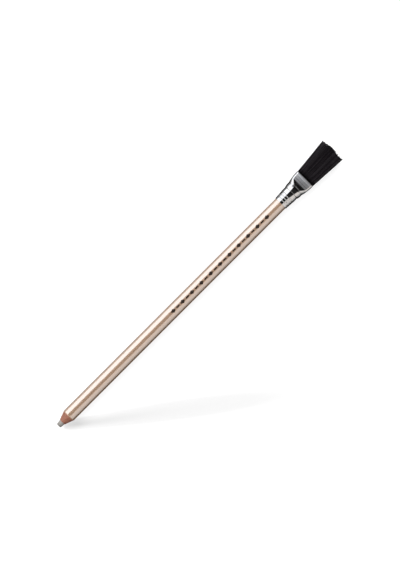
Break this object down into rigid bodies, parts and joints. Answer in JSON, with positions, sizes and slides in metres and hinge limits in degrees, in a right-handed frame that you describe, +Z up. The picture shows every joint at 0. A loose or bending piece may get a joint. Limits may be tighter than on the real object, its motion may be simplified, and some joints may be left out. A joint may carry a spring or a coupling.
{
  "type": "wood-cased eraser pencil with brush",
  "caption": "Wood-cased eraser pencil with a champagne metallic lacquered round barrel, a grey sharpened eraser tip and a flat black brush in a bright crimped ferrule",
  "frame": {"origin": "On the plane the pencil lies on (z = 0, under the widest round part of the ferrule), below the middle of its length; the pencil's axis is 5.12 mm above it, at y = 0.", "axes": "+X along the pencil from the eraser tip to the brush, +Y across the flat of the brush, +Z up through the flat of the brush."},
  "size_m": [0.2185, 0.0154, 0.0102],
  "materials": {
    "eraser_rubber": "matte, slightly gritty grey eraser compound",
    "cedar": "bare reddish cedar, cut smooth by the sharpener, fine straight grain",
    "wood_glue": "dried wood glue, a hair-thin line",
    "primer": "pale matte primer, seen only as a ring at the cut edge",
    "champagne_lacquer": "glossy metallic champagne lacquer with fine flake",
    "dark_foil": "dark brown hot-stamped foil, satin",
    "nickel_sheet": "bright nickel-plated sheet metal, rolled and crimped",
    "resin": "cast amber resin, hidden in the ferrule",
    "black_bristle": "stiff near-black bristles with a soft sheen"
  },
  "bodies": {
    "root": {"eraser_core": "eraser_rubber", "cedar_slat_upper": "cedar", "cedar_slat_lower": "cedar", "slat_glue_line": "wood_glue", "primer_coat": "primer", "lacquer_coat": "champagne_lacquer", "stamped_foil": "dark_foil", "ferrule": "nickel_sheet", "bristle_resin_plug": "resin", "bristle_tuft": "black_bristle"}
  },
  "joints": []
}
